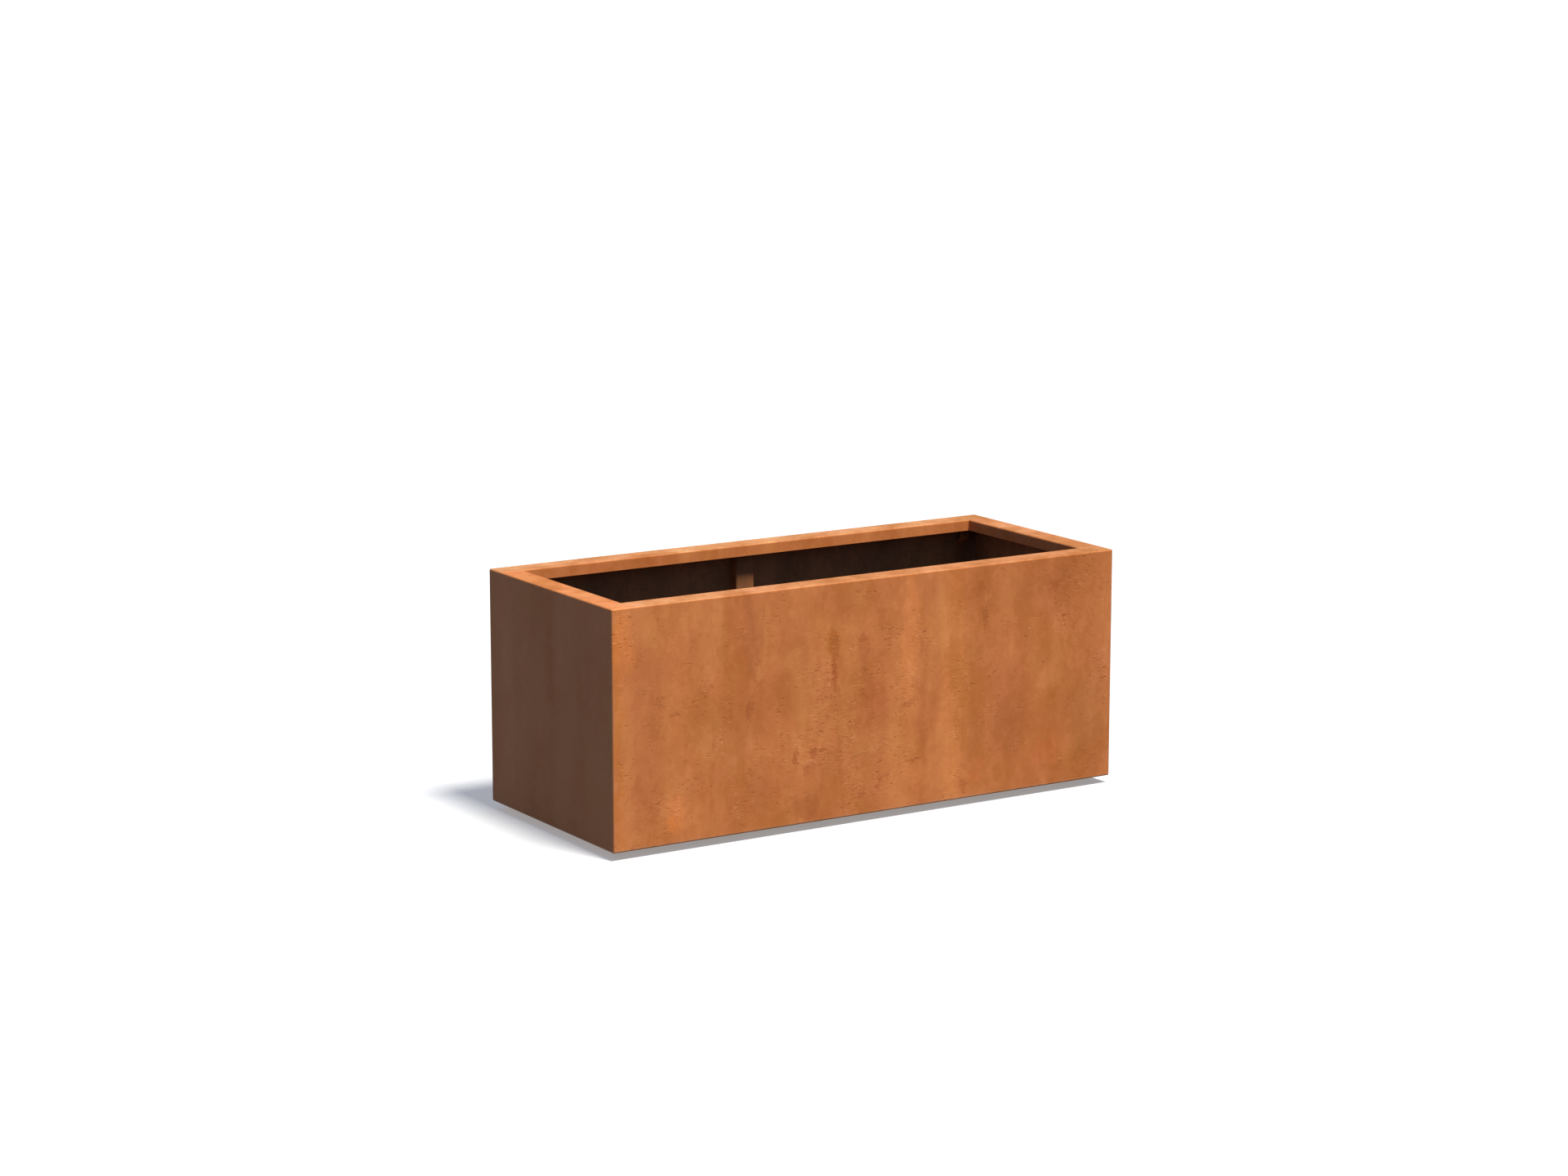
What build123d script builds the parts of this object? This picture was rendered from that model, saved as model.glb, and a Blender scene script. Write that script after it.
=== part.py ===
from build123d import *
import os
from math import cos, pi, radians, sin, sqrt, tan

# Free-standing trough planter of folded weathering-steel sheet on four levelling feet.
# Frame: millimetres, +X along the length, +Y from the front wall to the back wall, +Z up.
# The origin is on the ground, under the centre of the box.

# ---- overall -------------------------------------------------------------
LENGTH = 1200.0        # outside, along X
WIDTH = 500.0          # outside, along Y
HEIGHT = 500.0         # ground to the top of the rim
GROUND_GAP = 16.0      # ground to the underside of the folded shell
SHEET = 2.0            # wall sheet
BEND_IN = 1.5          # inside radius of every long bend
BEND_OUT = BEND_IN + SHEET
CORNER_R = 2.5         # dressed outside radius of the vertical corners

# ---- wall panels ---------------------------------------------------------
RIM = 50.0             # flat rim, folded inwards
LIP = 24.0             # depth of the lip folded down from the rim
RETURN = 25.0          # return flange folded in along the bottom

# ---- floor ---------------------------------------------------------------
FLOOR_T = 3.0
FLOOR_CLEAR = 1.0      # gap all round the floor plate, bridged by stitch welds
DRAIN_D = 20.0
DRAIN_X = (-350.0, -150.0, 150.0, 350.0)
DRAIN_Y = 140.0
BEARER_W = 50.0        # floor bearers: channels with the web down
BEARER_H = 30.0
BEARER_T = 3.0
BEARER_LEN = 490.0
BEARER_X = 440.0
BEARER_BEND = 2.0      # inside radius

# ---- wall stiffeners and cross tie ----------------------------------------
STIFF_W = 44.0
STIFF_D = 25.0
STIFF_X = -7.0         # middle of both stiffeners
STIFF_T = 2.0
STIFF_TOP_GAP = 6.0    # below the top of the rim
TIE_H = 40.0
TIE_T = 5.0
TIE_Z = 300.0          # middle of the tie
TIE_BEND = 3.0
TIE_X0, TIE_X1 = STIFF_X - 13.0, STIFF_X + 17.0
TIE_BOLT_X = STIFF_X + 4.0
TIE_BOLT_DZ = 11.0     # the two screws of each end, above and below the middle
BOLT_D = 8.0
BOLT_AF = 13.0
BOLT_HEAD = 5.3
BOLT_LEN = 16.0
BOLT_HOLE = 9.0
WASHER_D, WASHER_ID, WASHER_T = 16.0, 8.4, 1.6
NUT8_H = 6.5
THREAD_CLEAR = 0.05    # radial, screw in nut

# ---- lifting straps ---------------------------------------------------------
STRAP_W = 20.0
STRAP_T = 5.0
STRAP_X = 557.0
STRAP_OFFSET = 20.0    # how far the eye stands off the wall
STRAP_Z = (330.0, 443.0, 456.0, 488.0)
EYE_D = 10.0
EYE_Z = 470.0

# ---- welds --------------------------------------------------------------------
CORNER_BEAD = 5.0
STITCH_LEG = 5.0
STITCH_LEN = 40.0

# ---- levelling feet -------------------------------------------------------------
FOOT_X, FOOT_Y = 440.0, 150.0
PAD_D, PAD_H = 50.0, 10.0
PAD_EDGE_H = 4.5
PAD_TOP_D = 26.0
SOCKET_D, SOCKET_Z = 12.1, 3.0
JOURNAL_D = 12.0
JOURNAL_Z0 = 3.05
STUD_D = 10.0
STUD_AF = 17.0
STUD_HEX_Z0, STUD_HEX_Z1 = 10.5, 14.5
STUD_TOP = 44.0
WEB_HOLE = 12.0
NUT10_AF, NUT10_H = 17.0, 8.0

Z0, Z1 = GROUND_GAP, HEIGHT
WALL_IN_X = LENGTH / 2 - SHEET
WALL_IN_Y = WIDTH / 2 - SHEET
BEARER_Z0 = Z0 + SHEET
FLOOR_Z0 = BEARER_Z0 + BEARER_H
FLOOR_Z1 = FLOOR_Z0 + FLOOR_T
CORNERS = (
    ("front_left", -1, -1),
    ("front_right", 1, -1),
    ("back_left", -1, 1),
    ("back_right", 1, 1),
)


def rounded(face, pairs):
    """Rounds the listed corners of a flat section: pairs of ((x, y), radius)."""
    for (x, y), r in pairs:
        corner = [
            v for v in face.vertices() if abs(v.X - x) < 1e-4 and abs(v.Y - y) < 1e-4
        ]
        face = fillet(corner, r)
    return face


def prism(points, z0, z1, pairs=()):
    """A vertical prism on a polygon in plan."""
    face = rounded(Polygon(*points, align=None), pairs)
    return Pos(0, 0, z0) * extrude(face, amount=z1 - z0, dir=(0, 0, 1))


def box(x0, x1, y0, y1, z0, z1):
    return Pos((x0 + x1) / 2, (y0 + y1) / 2, (z0 + z1) / 2) * Box(
        x1 - x0, y1 - y0, z1 - z0
    )


def rod(x, y, z0, z1, d):
    """A vertical cylinder."""
    return Pos(x, y, (z0 + z1) / 2) * Cylinder(d / 2, z1 - z0)


def rod_y(x, z, y0, y1, d):
    """A cylinder along Y."""
    return Pos(x, (y0 + y1) / 2, z) * Rot(90, 0, 0) * Cylinder(d / 2, abs(y1 - y0))


def hexagon(af, height, top_chamfer=0.0, bottom_chamfer=0.0):
    """A hexagonal prism on the XY plane, with the corners turned down."""
    body = extrude(RegularPolygon(af / sqrt(3), 6), amount=height)
    blank = Pos(0, 0, height / 2) * Cylinder(af / sqrt(3), height)
    if top_chamfer:
        blank = chamfer(blank.edges().sort_by(Axis.Z)[-1], top_chamfer)
    if bottom_chamfer:
        blank = chamfer(blank.edges().sort_by(Axis.Z)[0], bottom_chamfer)
    return body & blank


# ---- the four folded wall panels -----------------------------------------------
# One section serves all four: return flange, wall, rim and lip from one sheet.
# u runs inwards from the outside face, v is the height.
def wall_section():
    pts = [
        (0, Z0),
        (RETURN, Z0),
        (RETURN, Z0 + SHEET),
        (SHEET, Z0 + SHEET),
        (SHEET, Z1 - SHEET),
        (RIM - SHEET, Z1 - SHEET),
        (RIM - SHEET, Z1 - LIP),
        (RIM, Z1 - LIP),
        (RIM, Z1),
        (0, Z1),
    ]
    return rounded(
        Polygon(*pts, align=None),
        [
            ((0, Z0), BEND_OUT),
            ((0, Z1), BEND_OUT),
            ((RIM, Z1), BEND_OUT),
            ((SHEET, Z0 + SHEET), BEND_IN),
            ((SHEET, Z1 - SHEET), BEND_IN),
            ((RIM - SHEET, Z1 - SHEET), BEND_IN),
        ],
    )


HX, HY = LENGTH / 2, WIDTH / 2
outside = extrude(RectangleRounded(LENGTH, WIDTH, CORNER_R), amount=HEIGHT + 10)


def wall_panel(origin, inward, along, length, plan):
    strip = extrude(
        Plane(origin=origin, x_dir=inward, z_dir=along) * wall_section(), amount=length
    )
    return strip & prism(plan, 0, HEIGHT + 10) & outside


ix, iy = HX - RIM, HY - RIM
front_panel = wall_panel(
    (-HX, -HY, 0), (0, 1, 0), (1, 0, 0), LENGTH,
    [(-HX, -HY), (HX, -HY), (ix, -iy), (-ix, -iy)],
)
back_panel = wall_panel(
    (HX, HY, 0), (0, -1, 0), (-1, 0, 0), LENGTH,
    [(-HX, HY), (-ix, iy), (ix, iy), (HX, HY)],
)
left_end_panel = wall_panel(
    (-HX, HY, 0), (1, 0, 0), (0, -1, 0), WIDTH,
    [(-HX, -HY), (-ix, -iy), (-ix, iy), (-HX, HY)],
)
right_end_panel = wall_panel(
    (HX, -HY, 0), (-1, 0, 0), (0, 1, 0), WIDTH,
    [(HX, -HY), (HX, HY), (ix, iy), (ix, -iy)],
)

# ---- floor plate, with drainage holes -----------------------------------------------
fx, fy = WALL_IN_X - FLOOR_CLEAR, WALL_IN_Y - FLOOR_CLEAR
floor_plate = box(-fx, fx, -fy, fy, FLOOR_Z0, FLOOR_Z1)
for x in DRAIN_X:
    for y in (-DRAIN_Y, DRAIN_Y):
        floor_plate -= rod(x, y, FLOOR_Z0 - 1, FLOOR_Z1 + 1, DRAIN_D)

# ---- floor bearers ------------------------------------------------------------------
def bearer(x_mid, with_feet):
    w, t, h = BEARER_W / 2, BEARER_T, BEARER_H
    pts = [
        (-w, 0), (w, 0), (w, h), (w - t, h), (w - t, t), (-w + t, t), (-w + t, h), (-w, h),
    ]
    section = rounded(
        Polygon(*pts, align=None),
        [
            ((-w, 0), BEARER_BEND + t),
            ((w, 0), BEARER_BEND + t),
            ((-w + t, t), BEARER_BEND),
            ((w - t, t), BEARER_BEND),
        ],
    )
    # the section stands in the XZ plane and runs along +Y
    lie = Plane(origin=(x_mid, -BEARER_LEN / 2, BEARER_Z0), x_dir=(-1, 0, 0), z_dir=(0, 1, 0))
    solid = extrude(lie * section, amount=BEARER_LEN)
    if with_feet:
        for y in (-FOOT_Y, FOOT_Y):
            solid -= rod(x_mid, y, BEARER_Z0 - 1, BEARER_Z0 + t + 1, WEB_HOLE)
    return solid


left_floor_bearer = bearer(-BEARER_X, True)
middle_floor_bearer = bearer(0, False)
right_floor_bearer = bearer(BEARER_X, True)

# ---- wall stiffeners -------------------------------------------------------------------
def stiffener(side):
    """A channel up the middle of a long wall, open side to the wall. side is -1 for the front."""
    x0, x1, t = STIFF_X - STIFF_W / 2, STIFF_X + STIFF_W / 2, STIFF_T
    wall = side * WALL_IN_Y
    face = side * (WALL_IN_Y - STIFF_D)
    inner = side * (WALL_IN_Y - STIFF_D + t)
    pts = [
        (x0, wall), (x0 + t, wall), (x0 + t, inner), (x1 - t, inner), (x1 - t, wall),
        (x1, wall), (x1, face), (x0, face),
    ]
    solid = prism(
        pts, FLOOR_Z1, Z1 - STIFF_TOP_GAP,
        [
            ((x0, face), 4.0), ((x1, face), 4.0),
            ((x0 + t, inner), 2.0), ((x1 - t, inner), 2.0),
        ],
    )
    for dz in (-TIE_BOLT_DZ, TIE_BOLT_DZ):
        solid -= rod_y(TIE_BOLT_X, TIE_Z + dz, inner + side * 1, face - side * 1, BOLT_HOLE)
    return solid


front_wall_stiffener = stiffener(-1)
back_wall_stiffener = stiffener(1)

# ---- cross tie: a flat bar on edge, with both ends turned to lie on the stiffeners ------------
ty = WALL_IN_Y - STIFF_D
cross_tie = prism(
    [
        (TIE_X0, -ty), (TIE_X1, -ty), (TIE_X1, -ty + TIE_T), (TIE_X0 + TIE_T, -ty + TIE_T),
        (TIE_X0 + TIE_T, ty - TIE_T), (TIE_X1, ty - TIE_T), (TIE_X1, ty), (TIE_X0, ty),
    ],
    TIE_Z - TIE_H / 2, TIE_Z + TIE_H / 2,
    [
        ((TIE_X0, -ty), TIE_BEND + TIE_T), ((TIE_X0, ty), TIE_BEND + TIE_T),
        ((TIE_X0 + TIE_T, -ty + TIE_T), TIE_BEND), ((TIE_X0 + TIE_T, ty - TIE_T), TIE_BEND),
    ],
)
tab_ends = [
    e for e in cross_tie.edges().filter_by(Axis.Y)
    if abs(e.center().X - TIE_X1) < 1e-4
]
cross_tie = fillet(tab_ends, 6.0)

bolts, washers, nuts = [], [], []
for side in (-1, 1):
    tab = side * (ty - TIE_T)             # the tab's inner face
    seat = side * (ty - TIE_T - WASHER_T)  # the washer's inner face, under the head
    web_in = side * (ty + STIFF_T)        # the far face of the stiffener's web
    # turns +Z to point away from the wall, into the box
    turn = Rot(90, 0, 0) if side > 0 else Rot(-90, 0, 0)
    for dz in (-TIE_BOLT_DZ, TIE_BOLT_DZ):
        z = TIE_Z + dz
        cross_tie -= rod_y(TIE_BOLT_X, z, side * (ty + 1), side * (ty - TIE_T - 1), BOLT_HOLE)
        head = Pos(TIE_BOLT_X, seat, z) * turn * hexagon(BOLT_AF, BOLT_HEAD, top_chamfer=0.9)
        shank = Cylinder(BOLT_D / 2, BOLT_LEN)
        shank = Pos(0, 0, -BOLT_LEN / 2) * chamfer(shank.edges().sort_by(Axis.Z)[0], 0.8)
        bolts.append(head + Pos(TIE_BOLT_X, seat, z) * turn * shank)
        ring = Cylinder(WASHER_D / 2, WASHER_T) - Cylinder(WASHER_ID / 2, WASHER_T + 2)
        washers.append(Pos(TIE_BOLT_X, tab, z) * turn * Pos(0, 0, WASHER_T / 2) * ring)
        nut = hexagon(BOLT_AF, NUT8_H, 0.7, 0.7) - Pos(0, 0, NUT8_H / 2) * Cylinder(
            BOLT_D / 2 + THREAD_CLEAR, NUT8_H + 2
        )
        nuts.append(Pos(TIE_BOLT_X, web_in, z) * turn * Pos(0, 0, -NUT8_H) * nut)

# ---- lifting straps: flat bar welded to the wall below, cranked off it above, with an eye ------
def offset_line(points, d):
    """The points of an open polyline moved sideways by d, mitred at its corners."""
    out = []
    n = len(points)
    for i, (x, y) in enumerate(points):
        dirs = []
        if i > 0:
            px, py = points[i - 1]
            dirs.append((x - px, y - py))
        if i < n - 1:
            qx, qy = points[i + 1]
            dirs.append((qx - x, qy - y))
        normals = []
        for dx, dy in dirs:
            length = sqrt(dx * dx + dy * dy)
            normals.append((-dy / length, dx / length))
        nx = sum(a for a, _ in normals)
        ny = sum(b for _, b in normals)
        k = d * 2 / (nx * nx + ny * ny) if len(normals) == 2 else d
        out.append((x + nx * k, y + ny * k))
    return out


def lifting_strap(sx, sy):
    z_a, z_b, z_c, z_d = STRAP_Z
    h = STRAP_T / 2
    # w is the distance from the wall's inside face
    mid = [(h, z_a), (h, z_b), (h + STRAP_OFFSET, z_c), (h + STRAP_OFFSET, z_d)]
    left, right = offset_line(mid, h), offset_line(mid, -h)
    face = Polygon(*right, *reversed(left), align=None)
    face = rounded(
        face,
        [(left[1], 7.0), (right[2], 7.0), (right[1], 2.0), (left[2], 2.0)]
        if left[1][0] < right[1][0]
        else [(right[1], 7.0), (left[2], 7.0), (left[1], 2.0), (right[2], 2.0)],
    )
    # in a plane whose x runs off the wall and whose y is up
    inward = (0, -sy, 0)
    along = (-1, 0, 0) if sy > 0 else (1, 0, 0)
    x_start = sx * STRAP_X + (STRAP_W / 2 if sy > 0 else -STRAP_W / 2)
    bar = extrude(
        Plane(origin=(x_start, sy * WALL_IN_Y, 0), x_dir=inward, z_dir=along) * face,
        amount=STRAP_W,
    )
    # rounded head and dressed foot, seen from inside the box
    outline = RectangleRounded(STRAP_W, z_d - z_a, 5.0)
    outline = extrude(
        Plane(origin=(sx * STRAP_X, 0, (z_a + z_d) / 2), x_dir=(1, 0, 0), z_dir=(0, -1, 0))
        * outline,
        amount=WIDTH,
        both=True,
    )
    bar = bar & outline
    y_eye = sy * (WALL_IN_Y - STRAP_OFFSET)
    return bar - rod_y(sx * STRAP_X, EYE_Z, y_eye + sy * 1, y_eye - sy * (STRAP_T + 1), EYE_D)


# ---- weld beads ---------------------------------------------------------------------------------
corner_beads = []
for _, sx, sy in CORNERS:
    bead = Pos(sx * WALL_IN_X, sy * WALL_IN_Y, (FLOOR_Z1 + Z1 - STIFF_TOP_GAP) / 2) * Cylinder(
        CORNER_BEAD, Z1 - STIFF_TOP_GAP - FLOOR_Z1
    )
    inside = box(
        min(sx * WALL_IN_X, sx * (WALL_IN_X - 20)), max(sx * WALL_IN_X, sx * (WALL_IN_X - 20)),
        min(sy * WALL_IN_Y, sy * (WALL_IN_Y - 20)), max(sy * WALL_IN_Y, sy * (WALL_IN_Y - 20)),
        0, HEIGHT,
    )
    corner_beads.append(bead & inside)


def stitch(x, y, along_x):
    """A short fillet bead between the floor plate and a wall, with the wall at x or y."""
    leg, half = STITCH_LEG, STITCH_LEN / 2
    if along_x:
        s = 1 if y > 0 else -1
        tri = [(0, 0), (leg, 0), (0, leg)]
        plane = Plane(
            origin=(x - half if s < 0 else x + half, y, FLOOR_Z1),
            x_dir=(0, -s, 0), z_dir=(1, 0, 0) if s < 0 else (-1, 0, 0),
        )
    else:
        s = 1 if x > 0 else -1
        tri = [(0, 0), (leg, 0), (0, leg)]
        plane = Plane(
            origin=(x, y - half if s > 0 else y + half, FLOOR_Z1),
            x_dir=(-s, 0, 0), z_dir=(0, 1, 0) if s > 0 else (0, -1, 0),
        )
    return extrude(plane * Polygon(*tri, align=None), amount=STITCH_LEN)


stitches = [
    stitch(x, sy * WALL_IN_Y, True) for x in (-480, -240, 240, 480) for sy in (-1, 1)
] + [stitch(sx * WALL_IN_X, y, False) for sx in (-1, 1) for y in (-120, 120)]

# ---- levelling feet -------------------------------------------------------------------------------
def foot_pad(x, y):
    r, rt, rs = PAD_D / 2, PAD_TOP_D / 2, SOCKET_D / 2
    half = Polygon(
        (0, 0), (r, 0), (r, PAD_EDGE_H), (rt, PAD_H), (rs, PAD_H), (rs, SOCKET_Z), (0, SOCKET_Z),
        align=None,
    )
    half = rounded(half, [((r, 0), 1.0), ((r, PAD_EDGE_H), 1.5), ((rt, PAD_H), 1.2)])
    return Pos(x, y, 0) * revolve(Plane.XZ * half, Axis.Z)


def foot_stud(x, y):
    journal = rod(0, 0, JOURNAL_Z0, STUD_HEX_Z0, JOURNAL_D)
    journal = chamfer(journal.edges().sort_by(Axis.Z)[0], 0.8)
    grip = Pos(0, 0, STUD_HEX_Z0) * hexagon(STUD_AF, STUD_HEX_Z1 - STUD_HEX_Z0, 0.7, 0.7)
    shank = rod(0, 0, STUD_HEX_Z1, STUD_TOP, STUD_D)
    shank = chamfer(shank.edges().sort_by(Axis.Z)[-1], 1.2)
    return Pos(x, y, 0) * (journal + grip + shank)


foot_nuts = []
for _, sx, sy in CORNERS:
    nut = hexagon(NUT10_AF, NUT10_H, 0.9, 0.0) - Pos(0, 0, NUT10_H / 2) * Cylinder(
        STUD_D / 2 + THREAD_CLEAR, NUT10_H + 2
    )
    foot_nuts.append(Pos(sx * FOOT_X, sy * FOOT_Y, BEARER_Z0 + BEARER_T) * nut)

# ---- nodes -------------------------------------------------------------------------------------------
nodes = {
    "front_panel": front_panel,
    "back_panel": back_panel,
    "left_end_panel": left_end_panel,
    "right_end_panel": right_end_panel,
    "floor_plate": floor_plate,
    "left_floor_bearer": left_floor_bearer,
    "middle_floor_bearer": middle_floor_bearer,
    "right_floor_bearer": right_floor_bearer,
    "front_wall_stiffener": front_wall_stiffener,
    "back_wall_stiffener": back_wall_stiffener,
    "cross_tie": cross_tie,
    "tie_bolts": bolts,
    "tie_washers": washers,
    "tie_weld_nuts": nuts,
    "corner_welds": corner_beads,
    "floor_stitch_welds": stitches,
    "foot_weld_nuts": foot_nuts,
}
for name, sx, sy in CORNERS:
    nodes["lifting_strap_" + name] = lifting_strap(sx, sy)
    nodes["foot_stud_" + name] = foot_stud(sx * FOOT_X, sy * FOOT_Y)
    nodes["foot_pad_" + name] = foot_pad(sx * FOOT_X, sy * FOOT_Y)

os.makedirs("parts", exist_ok=True)
for name, shape in nodes.items():
    solids = []
    for item in shape if isinstance(shape, list) else [shape]:
        solids.extend(item.solids())
    whole = solids[0] if len(solids) == 1 else Compound(children=solids)
    export_step(whole, "parts/" + name + ".step")
print(len(nodes), "nodes written")
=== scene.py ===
import bpy, bmesh, math
import numpy as np
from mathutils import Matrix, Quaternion, Vector, noise


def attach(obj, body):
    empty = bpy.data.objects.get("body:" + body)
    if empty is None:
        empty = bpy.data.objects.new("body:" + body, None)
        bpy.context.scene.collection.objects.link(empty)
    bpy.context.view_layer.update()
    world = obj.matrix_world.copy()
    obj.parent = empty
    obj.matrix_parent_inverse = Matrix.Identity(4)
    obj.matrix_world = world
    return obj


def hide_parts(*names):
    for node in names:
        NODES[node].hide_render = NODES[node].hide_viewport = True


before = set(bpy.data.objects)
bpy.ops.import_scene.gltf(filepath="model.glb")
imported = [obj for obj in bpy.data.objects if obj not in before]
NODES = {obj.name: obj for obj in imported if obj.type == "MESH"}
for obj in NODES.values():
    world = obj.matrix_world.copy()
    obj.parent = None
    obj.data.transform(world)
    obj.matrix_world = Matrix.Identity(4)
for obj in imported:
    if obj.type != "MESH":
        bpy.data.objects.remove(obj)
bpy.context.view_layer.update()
MM = 0.001
L, W, H = 1200.0, 500.0, 500.0
Z0, SHEET, R_IN, R_OUT, CORNER = 16.0, 2.0, 1.5, 3.5, 2.5
RIM, LIP, RETURN = 50.0, 24.0, 25.0
CORNERS = (("front_left", -1, -1), ("front_right", 1, -1), ("back_left", -1, 1), ("back_right", 1, 1))


# ================================================================ materials
class Tree:
    """Small helper that writes a material's nodes."""

    def __init__(self, name):
        self.mat = bpy.data.materials.new(name)
        self.mat.use_nodes = True
        self.t = self.mat.node_tree
        self.t.nodes.clear()
        self.out = self.add("ShaderNodeOutputMaterial")
        self.bsdf = self.add("ShaderNodeBsdfPrincipled")
        self.t.links.new(self.bsdf.outputs[0], self.out.inputs[0])
        self.coord = self.add("ShaderNodeTexCoord").outputs["Object"]

    def add(self, kind, **props):
        n = self.t.nodes.new(kind)
        for k, v in props.items():
            setattr(n, k, v)
        return n

    def put(self, socket, value):
        if isinstance(value, bpy.types.NodeSocket):
            self.t.links.new(value, socket)
        elif value is not None:
            socket.default_value = value

    def scaled(self, sx, sy, sz, off=(0, 0, 0), vec=None):
        n = self.add("ShaderNodeMapping")
        self.put(n.inputs["Vector"], vec or self.coord)
        n.inputs["Scale"].default_value = (sx, sy, sz)
        n.inputs["Location"].default_value = off
        return n.outputs[0]

    def noise(self, vec, scale, detail=3.0, rough=0.5, distort=0.0, out="Fac"):
        n = self.add("ShaderNodeTexNoise")
        self.put(n.inputs["Vector"], vec)
        n.inputs["Scale"].default_value = scale
        n.inputs["Detail"].default_value = detail
        n.inputs["Roughness"].default_value = rough
        n.inputs["Distortion"].default_value = distort
        return n.outputs[out]

    def voronoi(self, vec, scale, feature="F1", rnd=1.0):
        n = self.add("ShaderNodeTexVoronoi", feature=feature)
        self.put(n.inputs["Vector"], vec)
        n.inputs["Scale"].default_value = scale
        n.inputs["Randomness"].default_value = rnd
        return n.outputs["Distance"]

    def math(self, op, a, b=None, c=None, clamp=False):
        n = self.add("ShaderNodeMath", operation=op, use_clamp=clamp)
        for s, v in zip(n.inputs, (a, b, c)):
            self.put(s, v)
        return n.outputs[0]

    def vmath(self, op, a, b=None, scale=None):
        n = self.add("ShaderNodeVectorMath", operation=op)
        self.put(n.inputs[0], a)
        self.put(n.inputs[1], b)
        if scale is not None:
            n.inputs["Scale"].default_value = scale
        return n.outputs["Value" if op in ("LENGTH", "DISTANCE", "DOT_PRODUCT") else "Vector"]

    def xyz(self, vec=None):
        n = self.add("ShaderNodeSeparateXYZ")
        self.put(n.inputs[0], vec or self.coord)
        return n.outputs[0], n.outputs[1], n.outputs[2]

    def map(self, v, a, b, c=0.0, d=1.0, smooth=True):
        n = self.add("ShaderNodeMapRange", interpolation_type="SMOOTHSTEP" if smooth else "LINEAR")
        self.put(n.inputs["Value"], v)
        for k, x in zip(("From Min", "From Max", "To Min", "To Max"), (a, b, c, d)):
            n.inputs[k].default_value = x
        return n.outputs["Result"]

    def ramp(self, v, stops, ease=True):
        n = self.add("ShaderNodeValToRGB")
        n.color_ramp.interpolation = "EASE" if ease else "LINEAR"
        el = n.color_ramp.elements
        while len(el) < len(stops):
            el.new(0.5)
        for e, (p, c) in zip(el, stops):
            e.position, e.color = p, (*c, 1.0)
        self.put(n.inputs[0], v)
        return n.outputs[0]

    def mix(self, f, a, b, blend="MIX"):
        n = self.add("ShaderNodeMix", data_type="RGBA", blend_type=blend)
        self.put(n.inputs[0], f)
        self.put(n.inputs[6], a if isinstance(a, bpy.types.NodeSocket) else (*a, 1.0))
        self.put(n.inputs[7], b if isinstance(b, bpy.types.NodeSocket) else (*b, 1.0))
        return n.outputs[2]

    def bump(self, height, distance, strength=1.0, normal=None):
        n = self.add("ShaderNodeBump")
        self.put(n.inputs["Height"], height)
        n.inputs["Distance"].default_value = distance
        n.inputs["Strength"].default_value = strength
        if normal is not None:
            self.put(n.inputs["Normal"], normal)
        return n.outputs[0]

    def finish(self, color, rough, normal=None, metallic=0.0, spec=0.5):
        b = self.bsdf
        self.put(b.inputs["Base Color"], color)
        self.put(b.inputs["Roughness"], rough)
        if normal is not None:
            self.put(b.inputs["Normal"], normal)
        b.inputs["Metallic"].default_value = metallic
        b.inputs["Specular IOR Level"].default_value = spec
        return self.mat


# Stains on the front wall, in millimetres: x, z, half width, half height, tint.
FRONT_STAINS = (
    (-578, 440, 34, 80, (1.13, 1.10, 0.97)),
    (-528, 250, 48, 250, (0.93, 0.89, 0.89)),
    (-440, 400, 20, 130, (1.05, 1.06, 1.12)),
    (-365, 380, 52, 105, (1.07, 1.13, 1.24)),
    (-345, 215, 75, 62, (1.03, 1.15, 1.28)),
    (-275, 420, 28, 100, (0.87, 0.85, 0.85)),
    (-275, 105, 34, 80, (0.92, 0.92, 0.90)),
    (-172, 330, 58, 105, (0.93, 0.94, 0.89)),
    (-90, 378, 17, 36, (0.89, 0.86, 0.72)),
    (-88, 315, 9, 50, (0.87, 0.80, 0.70)),
    (-14, 348, 12, 60, (0.90, 0.84, 0.78)),
    (6, 240, 36, 62, (0.94, 0.86, 0.84)),
    (95, 380, 24, 170, (1.19, 1.24, 1.27)),
    (80, 140, 40, 140, (1.07, 1.12, 1.14)),
    (126, 260, 9, 170, (0.94, 0.90, 0.85)),
    (198, 270, 36, 330, (1.13, 1.17, 1.12)),
    (285, 400, 18, 38, (0.93, 0.92, 0.83)),
    (332, 185, 58, 110, (0.93, 0.89, 0.93)),
    (445, 445, 100, 66, (0.93, 0.90, 0.88)),
    (432, 250, 58, 62, (1.07, 1.11, 1.18)),
    (540, 155, 64, 110, (0.93, 0.98, 1.00)),
    (255, 58, 20, 24, (1.08, 1.02, 1.00)),
    (-457, 78, 26, 42, (1.12, 1.08, 1.05)),
    (435, 100, 46, 28, (1.02, 0.94, 0.92)),
    (-160, 55, 38, 32, (0.83, 0.79, 0.66)),
    (-588, 250, 9, 330, (1.00, 0.96, 0.72)),
    (584, 284, 12, 22, (1.05, 1.13, 1.36)),
)

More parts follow.
